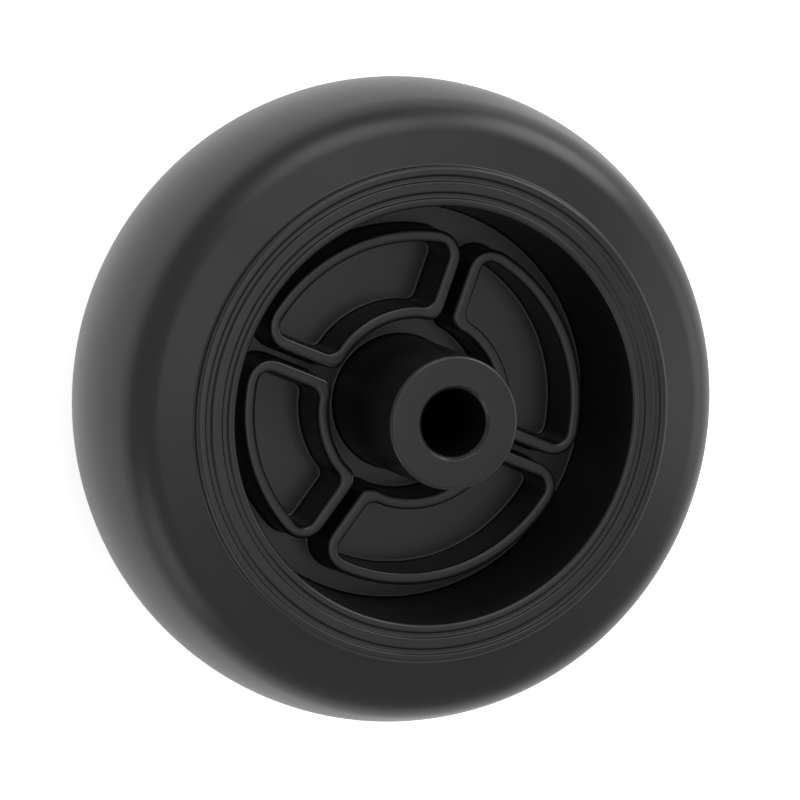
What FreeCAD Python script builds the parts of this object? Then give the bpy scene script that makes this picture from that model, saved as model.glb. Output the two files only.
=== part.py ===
import FreeCAD, Part
import math
import os
import Sketcher

# Lawn mower deck wheel, moulded in one piece and alike on both sides.
# The axle runs along Z. The origin is the centre of the wheel, half way along the axle bore.
# Lengths are millimetres, measured out from the axle or up from the middle plane. Angles are degrees.

SIZES = {
    # Bore and hub
    "bore_radius": 6.45,        # running fit on a half inch axle bolt
    "bore_chamfer": 0.7,
    "hub_radius": 12.8,         # at the end face
    "hub_half": 35.0,           # half the hub's length
    "hub_spread": 0.5,          # draft: how much thicker the hub is at the web
    "hub_edge": 0.8,            # bevel round the hub's end
    # Tread
    "tread_radius": 63.5,       # at the middle of the crown
    "crown_radius": 48.0,       # the tread's own curve, seen in section
    "shoulder_radius": 9.0,
    "side_slope": 14.0,         # fall of the side, from the lip's foot out to the shoulder
    # Lip round the opening of each side
    "rim_half": 26.0,           # half the width over the two lips
    "side_width": 15.8,         # from the crown in to the outer edge of the lip
    "lip_width": 7.6,
    "lip_step": 1.7,            # how far the lip stands proud of the side
    "lip_edge": 0.8,            # bevel of its two edges
    "outer_groove": 2.3,        # from the lip's outer edge in to the middle of the first groove
    "inner_groove": 2.1,        # from the lip's inner edge out to the middle of the second groove
    "groove_mouth": 0.75,       # half the width of each groove, at the lip's face
    "groove_floor": 0.35,       # half the width of its floor
    "groove_depth": 0.5,
    "rim_spread": 1.0,          # draft of the rim's inner wall
    # Web and its pockets
    "web_half": 2.0,            # half the web's thickness
    "wall_top": 13.0,           # height of the pocket walls
    "wall": 2.5,                # their thickness at the top
    "wall_spread": 0.3,         # draft of the ring of walls, at its foot
    "wall_edge": 0.4,           # bevel of their tops
    "hub_gap": 4.6,             # trench between the hub and the pocket walls
    "rim_gap": 5.3,             # trench between the pocket walls and the rim
    "slot_width": 2.2,          # radial gap between two pockets
    "draft": 1.5,               # of the slots and the pockets
    "rim_corner": 5.0,          # outside corners of the pocket walls, towards the rim
    "hub_corner": 2.8,          # and towards the hub
    "pocket_corner": 2.2,       # inside corners of the pockets
    # Direction of each slot, seen from the side that +Z points to
    "slot_a": -45.0,
    "slot_b": 47.5,
    "slot_c": 135.0,
    "slot_d": 210.0,
}

LIP_OUTER = "tread_radius - side_width"
LIP_INNER = LIP_OUTER + " - lip_width"
RING_INNER = "hub_radius + hub_gap"
RING_OUTER = LIP_INNER + " - rim_gap"
RING_WIDTH = RING_OUTER + " - hub_radius - hub_gap"
POCKET_WIDTH = RING_WIDTH + " - wall - wall"
SLOTS = ["slot_a", "slot_b", "slot_c", "slot_d"]

# Places on a line or an arc, and the level line through a sketch's origin
START, END, CENTRE = 1, 2, 3
ACROSS_AXIS = -1

NEAR = 1e-3
UP = FreeCAD.Vector(0, 0, 1)

doc = FreeCAD.newDocument("deck_wheel")


def fill_sheet():
    """Put every size in the sheet, one row each, under its own name."""
    sheet = doc.addObject("Spreadsheet::Sheet", "dims")
    for row, (name, value) in enumerate(SIZES.items(), start=1):
        sheet.set(f"A{row}", name)
        sheet.set(f"B{row}", str(value))
        sheet.setAlias(f"B{row}", name)
    doc.recompute()


def bound(formula):
    """A sum of named sizes, in the sheet's own words."""
    return " ".join("dims." + word if word in SIZES else word for word in formula.split())


def reckon(formula):
    """The value of the same sum, as a place to start drawing from."""
    total = 0.0
    sign = 1.0
    for word in formula.split():
        if word in ("+", "-"):
            sign = 1.0 if word == "+" else -1.0
        else:
            total += sign * (SIZES[word] if word in SIZES else float(word))
    return total


def spot(across, up):
    """A point of a sketch, from the formulas of its two distances."""
    return FreeCAD.Vector(reckon(across), reckon(up), 0)


def beside(slot, radius, aside, turn=0.0):
    """The point at a radius from the axle that lies a distance beside a slot's centre line."""
    along = math.sqrt(radius ** 2 - aside ** 2)
    return FreeCAD.Rotation(UP, slot + turn).multVec(FreeCAD.Vector(along, aside, 0))


def arc_of(centre, radius, first, last):
    """An arc by its centre, its radius and its two directions in degrees."""
    return Part.ArcOfCircle(Part.Circle(centre, UP, radius), math.radians(first), math.radians(last))


def new_sketch(body, name, plane_role):
    """A sketch on one of the body's own origin planes."""
    sketch = body.newObject("Sketcher::SketchObject", name)
    plane = next(p for p in body.Origin.OriginFeatures if p.Role == plane_role)
    sketch.AttachmentSupport = [(plane, "")]
    sketch.MapMode = "FlatFace"
    return sketch


def hold(sketch, kind, *places):
    """Add a constraint that has no size of its own."""
    sketch.addConstraint(Sketcher.Constraint(kind, *places))


def tie(sketch, formula, kind, *places):
    """Hold a distance or a radius of a sketch to a sum of named sizes."""
    index = sketch.addConstraint(Sketcher.Constraint(kind, *places, reckon(formula)))
    sketch.setExpression(f"Constraints[{index}]", bound(formula))


def tie_angle(sketch, formula, line):
    """Hold the direction of a line to a sum of named angles."""
    index = sketch.addConstraint(Sketcher.Constraint("Angle", line, math.radians(reckon(formula))))
    sketch.setExpression(f"Constraints[{index}]", bound(formula))


def groove_corners(middle):
    """The four corners of one shallow groove in the lip's face."""
    floor = "rim_half - groove_depth"
    return [
        (middle + " - groove_mouth", "rim_half"),
        (middle + " - groove_floor", floor),
        (middle + " + groove_floor", floor),
        (middle + " + groove_mouth", "rim_half"),
    ]


def draw_section(body):
    """One half of the wheel's section, from the bore out to the crown, over the middle plane."""
    sketch = new_sketch(body, "section", "XZ_Plane")
    corners = [
        ("bore_radius", "0"),
        ("bore_radius", "hub_half - bore_chamfer"),
        ("bore_radius + bore_chamfer", "hub_half"),
        ("hub_radius - hub_edge", "hub_half"),
        ("hub_radius", "hub_half - hub_edge"),
        ("hub_radius + hub_spread", "web_half"),
        (RING_INNER + " - wall_spread", "web_half"),
        (RING_INNER, "wall_top"),
        (RING_OUTER, "wall_top"),
        (RING_OUTER + " + wall_spread", "web_half"),
        (LIP_INNER + " - rim_spread", "web_half"),
        (LIP_INNER, "rim_half - lip_edge"),
        (LIP_INNER + " + lip_edge", "rim_half"),
        *groove_corners(LIP_INNER + " + inner_groove"),
        *groove_corners(LIP_OUTER + " - outer_groove"),
        (LIP_OUTER + " - lip_edge", "rim_half"),
        (LIP_OUTER, "rim_half - lip_edge"),
        (LIP_OUTER, "rim_half - lip_step"),
    ]
    points = [spot(across, up) for across, up in corners]
    lines = [sketch.addGeometry(Part.LineSegment(p, q)) for p, q in zip(points, points[1:])]
    for line, (across, up) in zip(lines, corners[1:]):
        tie(sketch, across, "DistanceX", line, END)
        tie(sketch, up, "DistanceY", line, END)
    for line, following in zip(lines, lines[1:]):
        hold(sketch, "Coincident", line, END, following, START)

    # Outside the lip the side falls to the shoulder, and the shoulder runs into the crown.
    # They are drawn roughly in place, and tangency settles them.
    crown = SIZES["crown_radius"]
    shoulder = SIZES["shoulder_radius"]
    crown_centre = spot("tread_radius - crown_radius", "0")
    shoulder_centre = points[-1] + FreeCAD.Vector(shoulder / 2, -shoulder, 0)
    lean = math.degrees(math.atan2(shoulder_centre.y, shoulder_centre.x - crown_centre.x))
    side_end = shoulder_centre + FreeCAD.Vector(0, shoulder, 0)
    side = sketch.addGeometry(Part.LineSegment(points[-1], side_end))
    bend = sketch.addGeometry(arc_of(shoulder_centre, shoulder, lean, 90 - SIZES["side_slope"]))
    tread = sketch.addGeometry(arc_of(crown_centre, crown, 0, lean))
    middle = sketch.addGeometry(Part.LineSegment(spot("tread_radius", "0"), points[0]))
    hold(sketch, "Coincident", lines[-1], END, side, START)
    hold(sketch, "Tangent", side, END, bend, END)
    hold(sketch, "Tangent", bend, START, tread, END)
    hold(sketch, "Coincident", tread, START, middle, START)
    hold(sketch, "Coincident", middle, END, lines[0], START)
    hold(sketch, "PointOnObject", tread, CENTRE, ACROSS_AXIS)
    hold(sketch, "PointOnObject", tread, START, ACROSS_AXIS)
    hold(sketch, "PointOnObject", lines[0], START, ACROSS_AXIS)
    tie(sketch, "bore_radius", "DistanceX", lines[0], START)
    tie(sketch, "tread_radius", "DistanceX", tread, START)
    tie(sketch, "crown_radius", "Radius", tread)
    tie(sketch, "shoulder_radius", "Radius", bend)
    tie_angle(sketch, "- side_slope", side)
    return sketch


def turn_section(body):
    """Turn the half section round the axle."""
    sketch = draw_section(body)
    turned = body.newObject("PartDesign::Revolution", "turned")
    turned.Profile = sketch
    turned.ReferenceAxis = (sketch, ["V_Axis"])
    turned.Angle = 360


def wall_top_sketch(body, name, slot):
    """A sketch at the height of the pocket walls, turned to one slot's direction."""
    sketch = new_sketch(body, name, "XY_Plane")
    sketch.AttachmentOffset = FreeCAD.Placement(UP, FreeCAD.Rotation(UP, SIZES[slot]))
    sketch.setExpression("AttachmentOffset.Base.z", bound("wall_top"))
    sketch.setExpression("AttachmentOffset.Rotation.Angle", bound(slot))
    return sketch


def cut_to_web(body, sketch, name):
    """Cut a sketched outline down from the wall tops to the web, narrowing by the draft."""
    cut = body.newObject("PartDesign::Pocket", name)
    cut.Profile = sketch
    cut.Type = "Length"
    cut.setExpression("Length", bound("wall_top - web_half"))
    cut.setExpression("TaperAngle", "-" + bound("draft"))


def cut_slot(body, slot):
    """The narrow gap between two pockets, from the hub's trench to the rim's."""
    sketch = wall_top_sketch(body, "outline_" + slot, slot)
    near_end = "hub_radius + hub_spread"
    far_end = RING_OUTER + " + wall_spread + wall_spread"
    half = SIZES["slot_width"] / 2
    corners = [
        FreeCAD.Vector(reckon(near_end), -half, 0),
        FreeCAD.Vector(reckon(far_end), -half, 0),
        FreeCAD.Vector(reckon(far_end), half, 0),
        FreeCAD.Vector(reckon(near_end), half, 0),
    ]
    turned_corners = corners[1:] + corners[:1]
    lines = [sketch.addGeometry(Part.LineSegment(p, q)) for p, q in zip(corners, turned_corners)]
    for line, following in zip(lines, lines[1:] + lines[:1]):
        hold(sketch, "Coincident", line, END, following, START)
    lower, outer, upper, inner = lines
    hold(sketch, "Horizontal", lower)
    hold(sketch, "Horizontal", upper)
    hold(sketch, "Vertical", outer)
    hold(sketch, "Symmetric", inner, START, inner, END, ACROSS_AXIS)
    tie(sketch, "slot_width", "Distance", outer)
    tie(sketch, near_end, "DistanceX", inner, END)
    tie(sketch, far_end, "DistanceX", outer, END)
    cut_to_web(body, sketch, "cut_" + slot)


def cut_pocket(body, slot, following_slot, span):
    """The pocket between two slots: two arcs round the axle, and two sides along the slots."""
    name = slot + "_to_" + following_slot
    sketch = wall_top_sketch(body, "outline_" + name, slot)
    aside = SIZES["slot_width"] / 2 + SIZES["wall"]
    turn = reckon(span)
    rings = (RING_INNER + " + wall", RING_OUTER + " - wall")
    radii = [reckon(formula) for formula in rings]
    near_side = [beside(0.0, radius, aside) for radius in radii]
    far_side = [beside(turn, radius, -aside) for radius in radii]
    first = sketch.addGeometry(Part.LineSegment(*near_side))
    last = sketch.addGeometry(Part.LineSegment(*far_side))
    for formula, radius, place in zip(rings, radii, (START, END)):
        lean = math.degrees(math.asin(aside / radius))
        arc = sketch.addGeometry(arc_of(FreeCAD.Vector(), radius, lean, turn - lean))
        hold(sketch, "Coincident", arc, CENTRE, ACROSS_AXIS, START)
        hold(sketch, "Coincident", arc, START, first, place)
        hold(sketch, "Coincident", arc, END, last, place)
        tie(sketch, formula, "Radius", arc)
    hold(sketch, "Horizontal", first)
    tie_angle(sketch, span, last)
    for side in (first, last):
        distance = Sketcher.Constraint("Distance", ACROSS_AXIS, START, side, aside)
        index = sketch.addConstraint(distance)
        sketch.setExpression(f"Constraints[{index}]", "dims.slot_width / 2 + dims.wall")
    cut_to_web(body, sketch, "pocket_" + name)


def at_most(size, share, room):
    """A size that gives way where it would take more than a share of the room it has."""
    return f"min( {size} ; {share} * ( {room} ) )"


def dress_edges(body, kind, name, size, wanted):
    """Round or bevel the edges that pass a test, on the body as it stands."""
    doc.recompute()
    before = body.Tip
    names = [f"Edge{number}" for number, edge in enumerate(before.Shape.Edges, start=1) if wanted(edge)]
    if not names:
        raise RuntimeError("no edge to work on for " + name)
    dressed = body.newObject("PartDesign::" + kind, name)
    dressed.Base = (before, names)
    dressed.setExpression("Radius" if kind == "Fillet" else "Size", bound(size))


def corner_under(radius, aside):
    """A test for the upright corners at a radius, beside each slot, that reach the wall tops."""
    height = SIZES["wall_top"]
    tops = [beside(SIZES[slot], radius, side * aside) + UP * height
            for slot in SLOTS for side in (1, -1)]

    def wanted(edge):
        ends = [vertex.Point for vertex in edge.Vertexes]
        if len(ends) != 2 or abs(ends[0].z - ends[1].z) < NEAR:
            return False
        return any((end - top).Length < NEAR for end in ends for top in tops)
    return wanted


def on_wall_tops(edge):
    """A test for every edge of the wall tops."""
    height = SIZES["wall_top"]
    box = edge.BoundBox
    return abs(box.ZMin - height) < NEAR and abs(box.ZMax - height) < NEAR


def dress_walls(body):
    """Round the upright corners of the pocket walls, inside and out, and bevel their tops."""
    outside = SIZES["slot_width"] / 2
    inside = outside + SIZES["wall"]
    rim_corner = at_most("rim_corner", 0.5, RING_WIDTH)
    hub_corner = at_most("hub_corner", 0.35, RING_WIDTH)
    pocket_corner = at_most("pocket_corner", 0.3, POCKET_WIDTH)
    corners = [
        ("rim_side_corners", rim_corner, RING_OUTER, outside),
        ("hub_side_corners", hub_corner, RING_INNER, outside),
        ("outer_pocket_corners", pocket_corner, RING_OUTER + " - wall", inside),
        ("inner_pocket_corners", pocket_corner, RING_INNER + " + wall", inside),
    ]
    for name, size, ring, aside in corners:
        dress_edges(body, "Fillet", name, size, corner_under(reckon(ring), aside))
    dress_edges(body, "Chamfer", "wall_tops", "wall_edge", on_wall_tops)


def mirror_half(body):
    """The other half of the wheel is the mirror image of the first."""
    doc.recompute()
    mirrored = body.newObject("PartDesign::Mirrored", "both_halves")
    middle_plane = next(p for p in body.Origin.OriginFeatures if p.Role == "XY_Plane")
    mirrored.TransformMode = "Whole shape"
    mirrored.MirrorPlane = (middle_plane, [""])
    body.Tip = mirrored


def make_wheel():
    """The whole wheel as one solid body."""
    body = doc.addObject("PartDesign::Body", "wheel")
    body.Label = "wheel"
    body.Placement = FreeCAD.Placement()
    turn_section(body)
    for slot, following_slot in zip(SLOTS, SLOTS[1:] + SLOTS[:1]):
        span = following_slot + " - " + slot
        if following_slot == SLOTS[0]:
            span += " + 360"
        cut_slot(body, slot)
        cut_pocket(body, slot, following_slot, span)
    dress_walls(body)
    mirror_half(body)
    doc.recompute()
    return body


def check(bodies):
    """Stop if any object of the document failed, or any body isn't one sound solid."""
    for thing in doc.Objects:
        if "Invalid" in thing.State or "Error" in thing.State:
            raise RuntimeError("failed: " + thing.Name)
    for body in bodies:
        shape = body.Shape
        if shape.isNull() or not shape.isValid() or len(shape.Solids) != 1:
            raise RuntimeError("not one sound solid: " + body.Label)


def write(bodies):
    """Write each body to a file of its own, named by its label."""
    os.makedirs("parts", exist_ok=True)
    for body in bodies:
        body.Shape.exportStep("parts/" + body.Label + ".step")
        box = body.Shape.BoundBox
        print(body.Label, "volume", round(body.Shape.Volume), "box", box.XLength, box.YLength, box.ZLength)


fill_sheet()
all_bodies = [make_wheel()]
check(all_bodies)
write(all_bodies)
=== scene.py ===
# %% [markdown]
# # A lawn mower deck wheel
# This wheel is one injection moulding in black plastic. It turns on a plain bolt under the corner
# of a mower's cutting deck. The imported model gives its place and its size. The lesson builds the
# same wheel again as a finer mesh, with every edge rounded as a mould leaves it, then gives it a
# moulded surface, and lights it on a pale floor.

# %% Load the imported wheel
import math

import bmesh
import bpy
from mathutils import Matrix, Vector


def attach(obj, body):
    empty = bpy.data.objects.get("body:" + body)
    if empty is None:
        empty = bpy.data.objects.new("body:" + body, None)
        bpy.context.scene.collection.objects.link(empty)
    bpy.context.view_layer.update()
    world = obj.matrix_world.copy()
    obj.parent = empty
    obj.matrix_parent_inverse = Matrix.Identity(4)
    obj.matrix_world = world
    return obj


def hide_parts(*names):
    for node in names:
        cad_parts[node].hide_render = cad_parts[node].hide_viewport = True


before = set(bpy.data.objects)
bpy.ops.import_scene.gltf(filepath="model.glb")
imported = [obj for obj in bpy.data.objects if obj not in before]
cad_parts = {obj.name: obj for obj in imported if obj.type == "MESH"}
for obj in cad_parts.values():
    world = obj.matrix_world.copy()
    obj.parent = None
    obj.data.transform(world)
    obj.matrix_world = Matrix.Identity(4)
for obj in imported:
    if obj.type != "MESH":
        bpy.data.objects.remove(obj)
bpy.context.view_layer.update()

print("packed nodes:", sorted(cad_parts))

# %% [markdown]
# ## The sizes
# A turned and pocketed part is described by a few radii and heights, so they are written once, in
# millimetres, as on a drawing. Radii are measured from the axle and heights from the middle plane.
# The wheel is the same on both sides, so the upper half is built and then mirrored. A mesh has no
# true curves, so the number of steps in each arc is written here too.

# %% Sizes in millimetres and degrees
MM = 0.001

# The hub and its bore
BORE_RADIUS = 6.45
BORE_CHAMFER = 0.7
HUB_RADIUS = 12.8
HUB_FOOT_RADIUS = 13.3
HUB_HALF = 35.0

# The rim, from the tread to the grooved lip
TREAD_RADIUS = 63.5
CROWN_RADIUS = 48.0
SHOULDER_RADIUS = 9.0
SIDE_SLOPE = 14.0
RIM_HALF = 26.0
LIP_STEP = 1.7
LIP_OUTER = 47.7
LIP_INNER = 40.1
RIM_FOOT_RADIUS = 39.1
GROOVES = (42.2, 45.4)
GROOVE_DEPTH = 0.5
GROOVE_MOUTH = 1.5
GROOVE_FLOOR = 0.7

# The web, its slots and the walls of its pockets
WEB_HALF = 2.0
WALL_TOP = 13.0
WALL = 2.5
WALL_DRAFT = 0.29
RING_INNER = 17.4
RING_OUTER = 34.8
SLOT_WIDTH = 2.2
SLOTS = (-45.0, 47.5, 135.0, 210.0)
RIM_CORNER = 5.0
HUB_CORNER = 2.8
POCKET_CORNER = 2.2

# The radii of the small roundings, and the width of the flat bands beside them
EDGE = 0.8
SMALL_EDGE = 0.7
GROOVE_EDGE = 0.35
BORE_EDGE = 0.3
LIP_FOOT = 0.5
FOOT = 0.3
BAND = 0.3

print("slots at", SLOTS, "degrees; widths between them:",
      [(after - before) % 360 for before, after in zip(SLOTS, SLOTS[1:] + SLOTS[:1])])

# %% How finely the curves are divided
ROUND_STEPS = 192
CROWN_STEPS = 14
SHOULDER_STEPS = 10
EDGE_STEPS = 4
CORNER_STEPS = 8
ARC_STEP = 3
LEAST_ARC_STEPS = 8
SAME_PLACE = 1e-6
print("one step round the axle:", round(math.tau * TREAD_RADIUS / ROUND_STEPS, 2), "mm of tread;",
      "vertices nearer than", SAME_PLACE, "m are one")

# %% [markdown]
# ## The half section
# A turner would cut this rim and hub from a template of half the section, and a mould maker works
# the same way. A wire of corners is drawn first. Each corner is then rounded with a vertex bevel,
# which replaces the corner by a short arc of the wanted radius. Rounding the wire, and not the
# finished mesh, keeps every edge's radius exact and costs almost nothing.

# %% Draw and round a wire
def section_point(across, up):
    """A point of the half section, in metres."""
    return Vector((across, 0.0, up)) * MM


def draw_wire(mesh, points):
    """Join points of the half section into an open wire and return its vertices."""
    corners = [mesh.verts.new(section_point(across, up)) for across, up in points]
    for first, second in zip(corners, corners[1:]):
        mesh.edges.new((first, second))
    return corners


def round_corner(mesh, corner, radius, segments=EDGE_STEPS):
    """Round one corner of a wire or of a flat outline, with an arc of the given radius in mm."""
    arms = [(edge.other_vert(corner).co - corner.co).normalized() for edge in corner.link_edges]
    turn = math.pi - arms[0].angle(arms[1])
    rounded = bmesh.ops.bevel(mesh, geom=[corner], offset=radius * MM * math.tan(turn / 2),
                              segments=segments, profile=0.5, affect="VERTICES", material=-1)
    return rounded["verts"]


# %% [markdown]
# ## Tread and shoulder
# The tread is domed so that the wheel slides over turf without cutting it. Its section is one long
# arc, and a tighter arc turns it into the side. The two arcs and the sloping side touch without a
# corner, so the place of the shoulder's centre follows from the other sizes: it lies one shoulder
# radius under the side, and on a circle round the crown's centre.

# %% Find the shoulder
crown_centre = Vector((TREAD_RADIUS - CROWN_RADIUS, 0.0))
side_start = Vector((LIP_OUTER, RIM_HALF - LIP_STEP))
slope = math.radians(SIDE_SLOPE)
along_side = Vector((math.cos(slope), -math.sin(slope)))
out_of_side = Vector((math.sin(slope), math.cos(slope)))
start = side_start - SHOULDER_RADIUS * out_of_side - crown_centre
reach = CROWN_RADIUS - SHOULDER_RADIUS
middle = -start.dot(along_side)
side_length = middle + math.sqrt(middle ** 2 - start.length_squared + reach ** 2)
shoulder_centre = side_start + side_length * along_side - SHOULDER_RADIUS * out_of_side
lean = math.atan2(shoulder_centre.y, shoulder_centre.x - crown_centre.x)
print(f"side {side_length:.2f} mm long, crown meets shoulder at {math.degrees(lean):.1f} degrees")


# %% Sweep the two arcs
def last_vertex(swept):
    """The vertex at which a spin ended."""
    return next(item for item in swept["geom_last"] if isinstance(item, bmesh.types.BMVert))


def sweep_arc(mesh, vertex, centre, angle, steps):
    """Sweep a vertex round a centre in the section's plane and return the arc's last vertex."""
    swept = bmesh.ops.spin(mesh, geom=[vertex], cent=section_point(*centre), axis=(0, -1, 0),
                           angle=angle, steps=steps, use_merge=False, use_duplicate=False)
    return last_vertex(swept)


def draw_rim(mesh):
    """The rim's half section: crown, shoulder, side, grooved lip, and inner wall to the web."""
    crown_start = mesh.verts.new(section_point(TREAD_RADIUS, 0.0))
    crown_end = sweep_arc(mesh, crown_start, crown_centre, lean, CROWN_STEPS)
    bend = math.pi / 2 - slope - lean
    bend_end = sweep_arc(mesh, crown_end, shoulder_centre, bend, SHOULDER_STEPS)
    points = [(LIP_OUTER, RIM_HALF - LIP_STEP), (LIP_OUTER, RIM_HALF)]
    for groove in reversed(GROOVES):
        points += [(groove + GROOVE_MOUTH / 2, RIM_HALF),
                   (groove + GROOVE_FLOOR / 2, RIM_HALF - GROOVE_DEPTH),
                   (groove - GROOVE_FLOOR / 2, RIM_HALF - GROOVE_DEPTH),
                   (groove - GROOVE_MOUTH / 2, RIM_HALF)]
    points += [(LIP_INNER, RIM_HALF), (RIM_FOOT_RADIUS, WEB_HALF),
               (RIM_FOOT_RADIUS - 2 * BAND, WEB_HALF)]
    corners = draw_wire(mesh, points)
    mesh.edges.new((bend_end, corners[0]))
    radii = [LIP_FOOT, EDGE] + [GROOVE_EDGE] * 4 * len(GROOVES) + [EDGE, FOOT]
    for corner, radius in zip(corners, radii):
        round_corner(mesh, corner, radius)


def draw_hub(mesh):
    """The hub's half section: foot, side, end face, chamfer and bore."""
    corners = draw_wire(mesh, [
        (HUB_FOOT_RADIUS + 2 * BAND, WEB_HALF),
        (HUB_FOOT_RADIUS, WEB_HALF),
        (HUB_RADIUS, HUB_HALF),
        (BORE_RADIUS + BORE_CHAMFER, HUB_HALF),
        (BORE_RADIUS, HUB_HALF - BORE_CHAMFER),
        (BORE_RADIUS, 0.0),
    ])
    for corner, radius in zip(corners[1:-1], (FOOT, EDGE, BORE_EDGE, BORE_EDGE)):
        round_corner(mesh, corner, radius)


# %% [markdown]
# ## Turning the section
# A spin turns the wire round the axle. Its last copy would lie on the first, so the spin is told to
# merge them, or a hidden seam would stay open. The rim and the hub are two separate rings so far:
# the flat web that joins them comes next.

# %% Turn the rim and the hub
wheel_mesh = bmesh.new()
draw_rim(wheel_mesh)
draw_hub(wheel_mesh)
bmesh.ops.spin(wheel_mesh, geom=wheel_mesh.verts[:] + wheel_mesh.edges[:],
               cent=(0, 0, 0), axis=(0, 0, 1), angle=math.tau, steps=ROUND_STEPS,
               use_merge=True, use_duplicate=False)
print("turned rim and hub:", len(wheel_mesh.faces), "faces")

# %% [markdown]
# ## The outline of a pocket
# Between two slots the web carries a walled pocket. Seen from above, its outline is two arcs round
# the axle and two straight sides along the slots, with round corners. The arcs are swept, the
# corners are left sharp until the outline is closed, and the same vertex bevel rounds them. A bevel
# needs a free length of edge on each side of its corner, so the arcs' steps start after that.

# %% Draw a pocket's outline
LEAD_SHARE = 1.2
LEAD_SPARE = 0.3


def ring_point(radius, angle, height):
    """A point at a radius in mm and an angle in radians round the axle, in metres."""
    return Vector((radius * math.cos(angle), radius * math.sin(angle), height)) * MM


def ring_arc(mesh, radius, first, last, lead, height):
    """Vertices along an arc round the axle, with a lead in mm left free at each end."""
    free = lead / radius
    sweep = last - first - 2 * free
    ends = [mesh.verts.new(ring_point(radius, angle, height)) for angle in (first, last)]
    row = [mesh.verts.new(ring_point(radius, first + free, height))]
    steps = max(LEAST_ARC_STEPS, round(math.degrees(sweep) / ARC_STEP))
    for _ in range(steps):
        swept = bmesh.ops.spin(mesh, geom=[row[-1]], cent=(0, 0, 0), axis=(0, 0, 1),
                               angle=sweep / steps, steps=1)
        row.append(last_vertex(swept))
    return [ends[0], *row, ends[1]]


def draw_outline(mesh, slots, outset, wall_line, height):
    """A flat face with round corners between two slots, outset in mm from a wall's line."""
    aside, inner_radius, outer_radius, inner_corner, outer_corner = wall_line
    rows = []
    for radius, corner_radius in ((inner_radius - outset, inner_corner),
                                  (outer_radius + outset, outer_corner)):
        turn = math.asin((aside - outset) / radius)
        first, last = math.radians(slots[0]) + turn, math.radians(slots[1]) - turn
        lead = LEAD_SHARE * (corner_radius + outset) + LEAD_SPARE
        rows.append(ring_arc(mesh, radius, first, last, lead, height))
    inner, outer = rows
    mesh.faces.new(outer + inner[::-1])
    for row, corner_radius in zip(rows, (inner_corner, outer_corner)):
        for corner in (row[0], row[-1]):
            rounded = round_corner(mesh, corner, corner_radius + outset, CORNER_STEPS)
    return rounded[0].link_faces[0]


# %% [markdown]
# ## Raising the walls
# A moulded wall has a small radius at its foot, a draft of a degree or two so that it leaves the
# mould, and a rounded top. An even inset followed by a move gives any such band, so a wall is just
# a list of steps: across and up, again and again. The first and last steps are flat bands. They
# carry the shading of the flat web and the flat wall top right up to the rounding.

# %% Step a face inwards and upwards
def quarter_turn(radius, segments=3):
    """Steps across and up along a quarter circle, from level to upright."""
    angles = [math.pi / 2 * number / segments for number in range(segments + 1)]
    places = [(radius * math.sin(angle), radius * (1 - math.cos(angle))) for angle in angles]
    return [(after[0] - before[0], after[1] - before[1])
            for before, after in zip(places, places[1:])]


def wall_steps(first_radius, last_radius):
    """Steps from level ground, up a drafted side of the walls' height, and on to level ground."""
    side = WALL_TOP - WEB_HALF - first_radius - last_radius
    last_turn = [(across, up) for up, across in quarter_turn(last_radius)]
    return [(BAND, 0.0), *quarter_turn(first_radius), (WALL_DRAFT, side), *last_turn, (BAND, 0.0)]


def follow_steps(mesh, face, steps, direction):
    """Inset a flat face and move it, step by step, up for a direction of 1 and down for -1."""
    for across, up in steps:
        bmesh.ops.inset_region(mesh, faces=[face], thickness=across * MM,
                               use_even_offset=True, use_boundary=True)
        bmesh.ops.translate(mesh, verts=face.verts[:], vec=(0, 0, direction * up * MM))


def open_edges(mesh, height):
    """Edges with a face on one side only, at a height in mm."""
    return [edge for edge in mesh.edges if len(edge.link_faces) < 2
            and all(abs(vertex.co.z - height * MM) < SAME_PLACE for vertex in edge.verts)]


# %% [markdown]
# ## One walled pocket
# The block between two slots is raised from the web, its top face is taken away, the pocket's
# mouth is drawn in its place and sunk back to the web, and the ring between the two loops is
# bridged. The mouth has its own corner radius, which is why it isn't simply one more inset.

# %% Build the four pockets
# A line is its distance from the slot's middle, its two radii, and its two corner radii.
OUTER_LINE = (SLOT_WIDTH / 2, RING_INNER, RING_OUTER, HUB_CORNER, RIM_CORNER)
INNER_LINE = (SLOT_WIDTH / 2 + WALL, RING_INNER + WALL, RING_OUTER - WALL,
              POCKET_CORNER, POCKET_CORNER)


def build_pocket(mesh, slots):
    """Raise the walls of one pocket and sink its floor."""
    block = draw_outline(mesh, slots, BAND + FOOT + WALL_DRAFT, OUTER_LINE, WEB_HALF)
    follow_steps(mesh, block, wall_steps(FOOT, SMALL_EDGE), 1)
    bmesh.ops.delete(mesh, geom=[block], context="FACES_ONLY")
    mouth = draw_outline(mesh, slots, BAND + SMALL_EDGE, INNER_LINE, WALL_TOP)
    follow_steps(mesh, mouth, wall_steps(SMALL_EDGE, FOOT), -1)
    bmesh.ops.bridge_loops(mesh, edges=open_edges(mesh, WALL_TOP))


for number, slot in enumerate(SLOTS):
    next_slot = SLOTS[(number + 1) % len(SLOTS)]
    build_pocket(wheel_mesh, (slot, next_slot + (360 if next_slot < slot else 0)))
print("with four pockets:", len(wheel_mesh.faces), "faces")

# %% [markdown]
# ## Web and second side
# The web's flat floor is what is left between the hub, the four outlines and the rim. A triangle
# fill closes such a shape with holes in one go, and because it is flat its long triangles can't be
# seen. Then the half is mirrored in the middle plane, where the two halves share their vertices.

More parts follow.
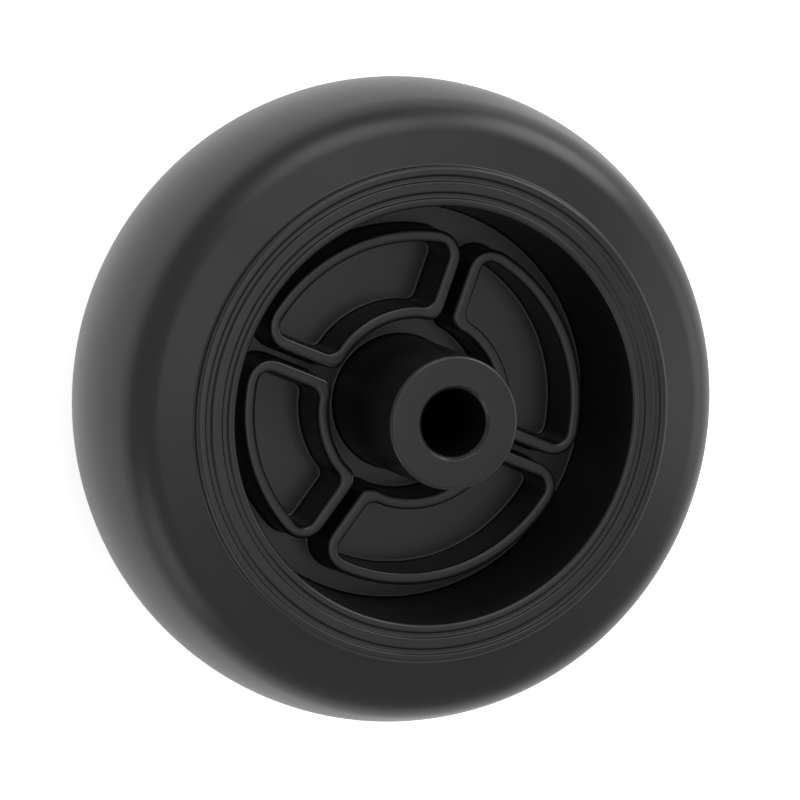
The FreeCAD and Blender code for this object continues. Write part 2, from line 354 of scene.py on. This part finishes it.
# %% Close the web and mirror the half
bmesh.ops.triangle_fill(wheel_mesh, edges=open_edges(wheel_mesh, WEB_HALF),
                        use_beauty=True, normal=(0, 0, 1))
half_wheel = wheel_mesh.verts[:] + wheel_mesh.edges[:] + wheel_mesh.faces[:]
bmesh.ops.mirror(wheel_mesh, geom=half_wheel, matrix=Matrix.Identity(4),
                 merge_dist=SAME_PLACE, axis="Z")
bmesh.ops.remove_doubles(wheel_mesh, verts=wheel_mesh.verts[:], dist=SAME_PLACE)
bmesh.ops.recalc_face_normals(wheel_mesh, faces=wheel_mesh.faces[:])
open_count = sum(1 for edge in wheel_mesh.edges if len(edge.link_faces) != 2)
print("whole wheel:", len(wheel_mesh.faces), "faces,", open_count, "open edges,",
      round(wheel_mesh.calc_volume(signed=True) * 1e9), "cubic mm")

# %% [markdown]
# ## One smooth object
# Every edge has its own small rounding, so the whole surface is shaded smooth. A weighted normal
# modifier lets the large faces decide the shading, as they do on a real part: flats stay flat and
# only the roundings turn. The object stays at the origin with its place in its mesh.

# %% Make the wheel object
def make_object(name, mesh_data):
    """Link a finished mesh to the scene as an object at the origin."""
    made = bpy.data.objects.new(name, mesh_data)
    bpy.context.scene.collection.objects.link(made)
    return made


wheel_data = bpy.data.meshes.new("wheel_moulding")
for face in wheel_mesh.faces:
    face.smooth = True
wheel_mesh.to_mesh(wheel_data)
wheel_mesh.free()
wheel = make_object("wheel_moulding", wheel_data)
LARGE_FACES_LEAD = 80
weighting = wheel.modifiers.new("flats_stay_flat", "WEIGHTED_NORMAL")
weighting.weight = LARGE_FACES_LEAD
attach(wheel, "root")
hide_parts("wheel")
print("triangles:", sum(len(polygon.vertices) - 2 for polygon in wheel_data.polygons))

# %% [markdown]
# ## A small way to write materials
# A material is a tree of nodes. One helper adds a node, sets its sockets and links its inputs, so
# each material below reads as a short list. Colours are written as the hex values a designer
# picks on screen, and one function turns them into the linear values that the shader wants.

# %% Node helper and colours
def linear(hex_colour):
    """A linear colour from an sRGB hex value."""
    channels = [int(hex_colour[place:place + 2], 16) / 255 for place in (1, 3, 5)]
    return [value / 12.92 if value <= 0.04045 else ((value + 0.055) / 1.055) ** 2.4
            for value in channels] + [1.0]


def add_node(tree, kind, sockets=None, links=None, **settings):
    """Add a node with its settings, its socket values and its links from other nodes' outputs."""
    node = tree.nodes.new(kind)
    for name, value in settings.items():
        setattr(node, name, value)
    for name, value in (sockets or {}).items():
        node.inputs[name].default_value = value
    for name, output in (links or {}).items():
        tree.links.new(output, node.inputs[name])
    return node


def new_material(name):
    """An empty material and its node tree."""
    material = bpy.data.materials.new(name)
    material.use_nodes = True
    material.node_tree.nodes.clear()
    return material, material.node_tree


# %% [markdown]
# ## Moulded black polypropylene
# The wheel is polypropylene coloured with carbon black, injected into a steel mould whose face was
# lightly spark eroded. To the eye that gives a near black with a satin sheen: soft highlights,
# no mirror, and a very fine grain. Where the melt flowed and cooled at different speeds the sheen
# drifts a little, over centimetres. The grain is about 0.25 mm wide and 5 micrometres deep, which
# is the bump's distance times its strength. The layers of a noise halve in width, so the first is
# four times as wide as the grain.

# %% Wheel material
GRAIN_WIDTH = 0.25 * MM
BUMP_DISTANCE = 0.02 * MM
BUMP_STRENGTH = 0.25
FLOW_WIDTH = 30 * MM


def moulded_polypropylene():
    """Near-black satin plastic with a fine spark-eroded grain and a slow drift of sheen."""
    material, tree = new_material("moulded_black_polypropylene")
    place = add_node(tree, "ShaderNodeTexCoord").outputs["Object"]
    grain = add_node(tree, "ShaderNodeTexNoise",
                     {"Scale": 1 / (4 * GRAIN_WIDTH), "Detail": 3.0, "Roughness": 0.6},
                     {"Vector": place})
    drift = add_node(tree, "ShaderNodeTexNoise",
                     {"Scale": 1 / FLOW_WIDTH, "Detail": 2.0, "Roughness": 0.5},
                     {"Vector": place})
    colour = add_node(tree, "ShaderNodeMix", {"A": linear("#111112"), "B": linear("#151516")},
                      {"Factor": drift.outputs["Fac"]}, data_type="RGBA")
    sheen = add_node(tree, "ShaderNodeMapRange",
                     {"From Min": 0.3, "From Max": 0.7, "To Min": 0.29, "To Max": 0.35},
                     {"Value": drift.outputs["Fac"]})
    bump = add_node(tree, "ShaderNodeBump",
                    {"Strength": BUMP_STRENGTH, "Distance": BUMP_DISTANCE},
                    {"Height": grain.outputs["Fac"]})
    shader = add_node(tree, "ShaderNodeBsdfPrincipled", {"IOR": 1.49},
                      {"Base Color": colour.outputs["Result"], "Roughness": sheen.outputs["Result"],
                       "Normal": bump.outputs["Normal"]})
    add_node(tree, "ShaderNodeOutputMaterial", links={"Surface": shader.outputs["BSDF"]})
    return material


wheel_data.materials.append(moulded_polypropylene())
print("material:", wheel_data.materials[0].name)

# %% [markdown]
# ## Floor
# The wheel stands on the end of its hub, on a light table: a sheet of white acrylic, lit from below
# and from above. Its glow thins the wheel's shadow, and its mirror image at a glancing angle
# makes the bright rim round the tread. To the camera the sheet is a little brighter than in the
# light that it gives, as an overexposed background is. A black spot on it is painted shade: it
# closes the bore from below and takes the glow away there, so the hole looks as dark as in the
# photograph.

# %% Floor
# The black spot of painted shade under the bore: its radius and its soft edge, in mm.
SHADE_SPOT_RADIUS = 10.0
SHADE_SPOT_FADE = 1.0
GLOW_GIVEN = 0.41
GLOW_SEEN = 0.6


def lit_acrylic():
    """A white sheet that scatters light and glows, with a black spot of painted shade round the
    axle.
    """
    material, tree = new_material("lit_white_acrylic")
    place = add_node(tree, "ShaderNodeTexCoord").outputs["Object"]
    flat = add_node(tree, "ShaderNodeVectorMath", {1: (1.0, 1.0, 0.0)}, {0: place},
                    operation="MULTIPLY")
    away = add_node(tree, "ShaderNodeVectorMath", links={0: flat.outputs["Vector"]},
                    operation="LENGTH")
    # Painted shade: 0 inside the black spot under the bore and 1 on the rest of the sheet, for its
    # colour and its glow.
    outside_painted_shade = add_node(tree, "ShaderNodeMapRange",
                         {"From Min": SHADE_SPOT_RADIUS * MM, "From Max": (SHADE_SPOT_RADIUS + SHADE_SPOT_FADE) * MM},
                         {"Value": away.outputs["Value"]}).outputs["Result"]
    seen = add_node(tree, "ShaderNodeLightPath").outputs["Is Camera Ray"]
    colour = add_node(tree, "ShaderNodeMix", {"A": linear("#e6e6e6"), "B": linear("#ffffff")},
                      {"Factor": seen}, data_type="RGBA")
    glow = add_node(tree, "ShaderNodeMapRange",
                    {"To Min": GLOW_GIVEN, "To Max": GLOW_SEEN}, {"Value": seen})
    # Painted shade: the sheet's colour turns near black inside the spot under the bore.
    colour_with_painted_shade = add_node(tree, "ShaderNodeMix", {"A": linear("#050505")},
                     {"Factor": outside_painted_shade, "B": colour.outputs["Result"]}, data_type="RGBA")
    # The glow is taken away inside the spot of painted shade.
    shine = add_node(tree, "ShaderNodeMath", links={0: glow.outputs["Result"], 1: outside_painted_shade},
                     operation="MULTIPLY")
    scattered = add_node(tree, "ShaderNodeBsdfDiffuse", links={"Color": colour_with_painted_shade.outputs["Result"]})
    glowing = add_node(tree, "ShaderNodeEmission", links={"Strength": shine.outputs["Value"]})
    both = add_node(tree, "ShaderNodeAddShader",
                    links={0: scattered.outputs["BSDF"], 1: glowing.outputs["Emission"]})
    add_node(tree, "ShaderNodeOutputMaterial", links={"Surface": both.outputs["Shader"]})
    return material


FLOOR_RADIUS = 6.0
floor_mesh = bmesh.new()
bmesh.ops.create_circle(floor_mesh, cap_ends=True, radius=FLOOR_RADIUS, segments=96,
                        matrix=Matrix.Translation((0, 0, -HUB_HALF * MM)))
floor_data = bpy.data.meshes.new("studio_floor")
floor_mesh.to_mesh(floor_data)
floor_mesh.free()
floor = make_object("studio_floor", floor_data)
floor_data.materials.append(lit_acrylic())
print("floor at", -HUB_HALF, "mm, its black spot", 2 * SHADE_SPOT_RADIUS, "mm wide")

# %% [markdown]
# ## Camera
# The photograph looks at the wheel from a little to one side of its axle. The axle's direction as
# the camera sees it was worked out from the ellipse of the lip and the place of the hub, and the
# turn round the axle from the slots. On a wheel that stands on its hub, that is a camera that looks
# down from above. The long lens keeps the circles nearly round, as in the photograph.

# %% Camera
AXLE_SEEN = Vector((0.3315, -0.1273, 0.9348)).normalized()
TURN_ROUND_AXLE = math.radians(24.8)
CAMERA_PLACE = Vector((1.32, -0.06, 700.0)) * MM

across_seen = Vector((AXLE_SEEN.z, 0.0, -AXLE_SEEN.x)).normalized()
up_seen = AXLE_SEEN.cross(across_seen)
x_seen = math.cos(TURN_ROUND_AXLE) * across_seen + math.sin(TURN_ROUND_AXLE) * up_seen
y_seen = math.cos(TURN_ROUND_AXLE) * up_seen - math.sin(TURN_ROUND_AXLE) * across_seen
camera_turn = Matrix((x_seen, y_seen, AXLE_SEEN))
camera_data = bpy.data.cameras.new("photo_camera")
camera_data.lens = 160.0
camera_data.sensor_width = 36.0
camera_data.clip_start = 0.05
camera_data.clip_end = 20.0
camera = make_object("photo_camera", camera_data)
camera.matrix_world = Matrix.Translation(camera_turn @ CAMERA_PLACE) @ camera_turn.to_4x4()
bpy.context.scene.camera = camera
print("camera at", [round(value / MM) for value in camera.matrix_world.translation], "mm")

# %% [markdown]
# ## Light
# The photograph is a bright cut-out. Its flats are dark and even, its tread has a bright rim all
# round, and the strongest light comes from the top right of the picture. Black plastic hardly
# scatters light, so nearly all that one sees in it is a mirror image of the lamps and the floor.
# Five softboxes stand round the wheel. Each is placed by its angle off the axle and by its
# direction round it, counted from the right of the picture, and the powers follow the tones of the
# photograph.

# %% Lamps and room
LAMP_DISTANCE = 2.2
LAMP_WIDTH = 1.2
ROOM_LIGHT = 0.55


def softbox(name, lean, direction, power):
    """A square lamp that faces the wheel. Its two angles are in degrees, its power in watts."""
    lean, direction = math.radians(lean), math.radians(direction)
    sideways = math.cos(direction) * across_seen + math.sin(direction) * up_seen
    towards = camera_turn @ (math.cos(lean) * AXLE_SEEN + math.sin(lean) * sideways)
    lamp_data = bpy.data.lights.new(name, "AREA")
    lamp_data.size = LAMP_WIDTH
    lamp_data.energy = power
    lamp = make_object(name, lamp_data)
    turn = towards.to_track_quat("Z", "Y")
    lamp.matrix_world = Matrix.Translation(LAMP_DISTANCE * towards) @ turn.to_matrix().to_4x4()
    print(name, "stands", round(LAMP_DISTANCE * towards.z, 2), "m over the wheel's middle")


softbox("top_right_softbox", 68, 45, 15.5)
softbox("top_softbox", 45, 90, 10.5)
softbox("right_softbox", 68, 0, 6.3)
softbox("low_left_softbox", 68, 225, 5.0)
softbox("axle_softbox", 0, 0, 5.0)

room = bpy.data.worlds.new("pale_room")
room.use_nodes = True
room_tree = room.node_tree
room_tree.nodes.clear()
path = add_node(room_tree, "ShaderNodeLightPath")
strength = add_node(room_tree, "ShaderNodeMapRange", {"To Min": ROOM_LIGHT, "To Max": 1.0},
                    {"Value": path.outputs["Is Camera Ray"]})
background = add_node(room_tree, "ShaderNodeBackground", {"Color": linear("#ffffff")},
                      {"Strength": strength.outputs["Result"]})
add_node(room_tree, "ShaderNodeOutputWorld", links={"Surface": background.outputs["Background"]})
bpy.context.scene.world = room

# %% [markdown]
# ## Last settings
# The plain Standard view keeps colours as they are written. The visible wheel must stay inside the
# packed wheel's box.

# %% Finish
bpy.context.scene.view_settings.view_transform = "Standard"
bpy.context.view_layer.update()
